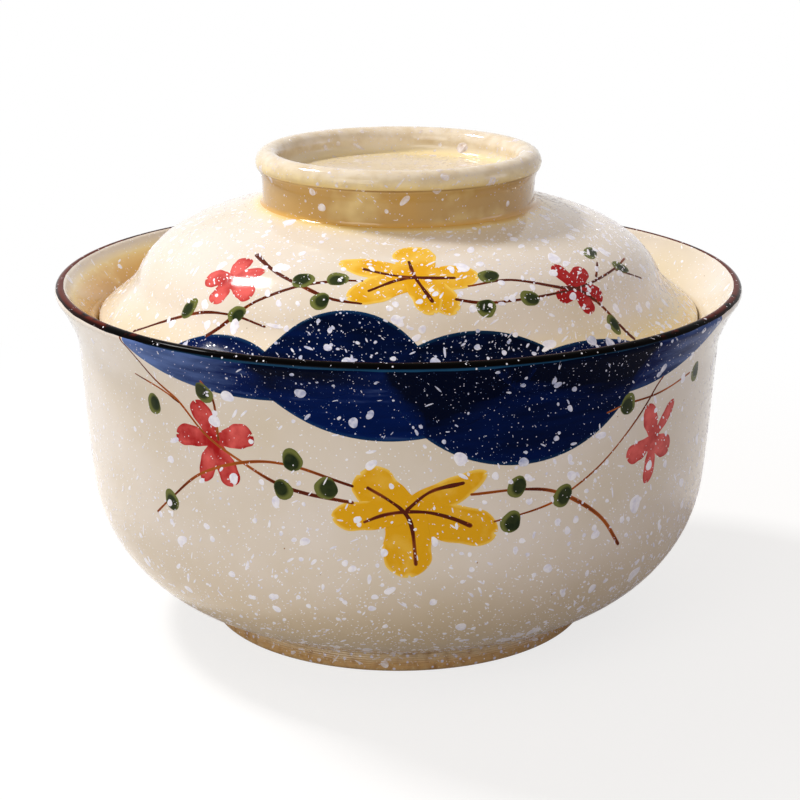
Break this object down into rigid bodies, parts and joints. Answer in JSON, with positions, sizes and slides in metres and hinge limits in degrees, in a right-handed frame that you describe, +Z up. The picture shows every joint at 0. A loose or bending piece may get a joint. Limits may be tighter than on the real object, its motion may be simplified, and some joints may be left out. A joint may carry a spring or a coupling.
{
  "type": "lidded noodle bowl",
  "caption": "Round stoneware noodle bowl with a flared rim and foot ring, closed by a domed drop-in lid with a dished ring knob, glazed ivory and hand painted with flowers.",
  "frame": {"origin": "centre of the foot ring, on the surface that the bowl stands on", "axes": "+Z up along the bowl's axis, towards the knob; the painted front faces -Y"},
  "size_m": [0.176, 0.176, 0.1226],
  "materials": {
    "ivory_glaze": "glossy ivory glaze over painted stoneware, with snow-white speckle and an iron-brown rim",
    "honey_glaze": "glossy ivory glaze that pools honey yellow in the creases, with snow-white speckle",
    "foot_glaze": "thin tan glaze over turning lines, bare stoneware under the ring"
  },
  "bodies": {
    "bowl": {"bowl_body": "ivory_glaze", "foot_ring": "foot_glaze"},
    "lid": {"lid_dome": "ivory_glaze", "knob_ring": "honey_glaze"}
  },
  "joints": [
    {"name": "lid_lift", "type": "slide", "parent": "bowl", "child": "lid", "axis": [0, 0, 1], "range_m": [0, 0.1]}
  ]
}
